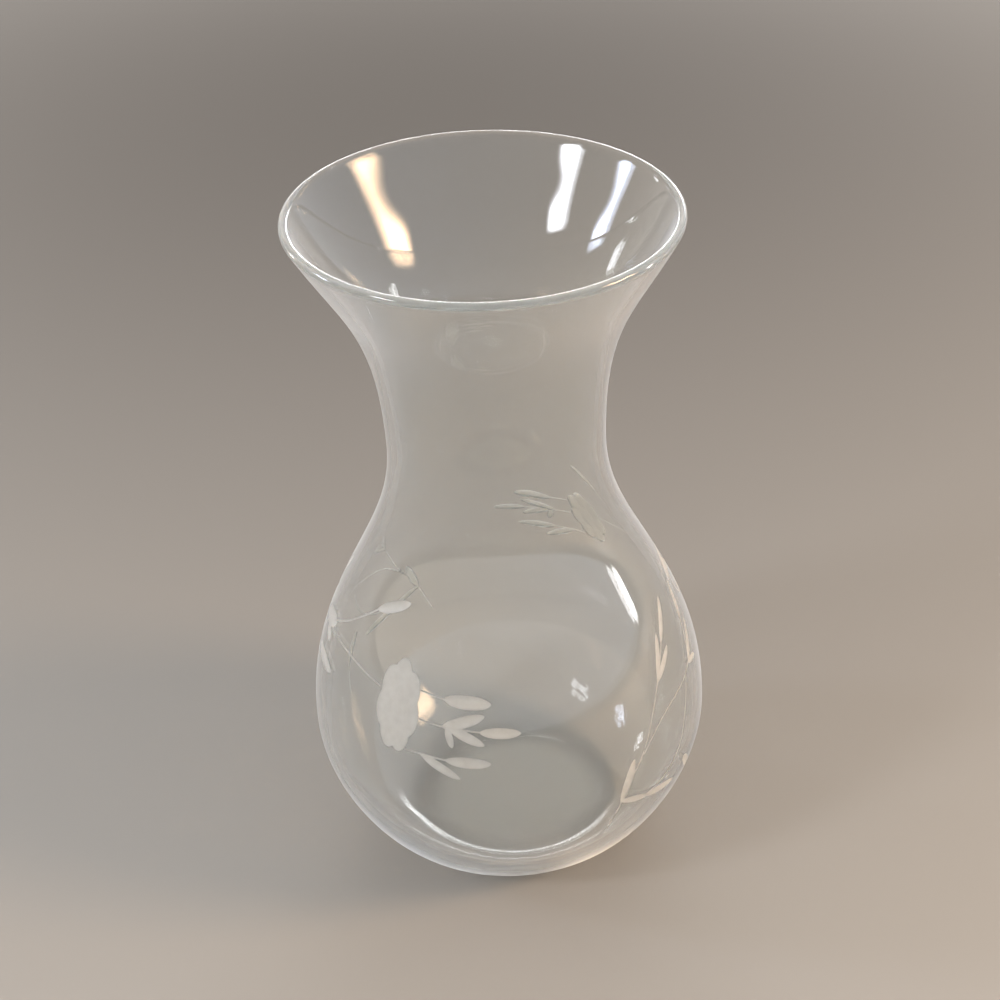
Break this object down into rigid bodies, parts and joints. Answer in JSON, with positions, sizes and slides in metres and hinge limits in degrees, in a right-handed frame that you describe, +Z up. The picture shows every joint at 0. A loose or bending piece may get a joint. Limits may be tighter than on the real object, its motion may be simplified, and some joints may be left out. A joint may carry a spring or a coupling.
{
  "type": "glass vase",
  "caption": "Clear blown-glass flower vase with a round bowl, a drawn-in neck, a flared mouth and a wheel-ground floral decoration on the bowl.",
  "frame": {"origin": "centre of the flat foot, on the surface that the vase stands on", "axes": "+Z up along the vase's axis; -Y towards the side that the picture shows, +X to its right"},
  "size_m": [0.1154, 0.1154, 0.1999],
  "materials": {
    "clear_glass": "clear, blown, with a fire-polished lip",
    "ground_glass": "wheel-ground, matt"
  },
  "bodies": {
    "root": {"glass_body": "clear_glass", "flower_front": "ground_glass", "upper_sprig_front": "ground_glass", "middle_sprig_front": "ground_glass", "lower_sprig_front": "ground_glass", "flower_stem_front": "ground_glass", "wheat_spray_front": "ground_glass", "low_leaf_front": "ground_glass", "flower_back": "ground_glass", "upper_sprig_back": "ground_glass", "middle_sprig_back": "ground_glass", "lower_sprig_back": "ground_glass", "flower_stem_back": "ground_glass", "wheat_spray_back": "ground_glass", "low_leaf_back": "ground_glass"}
  },
  "joints": []
}
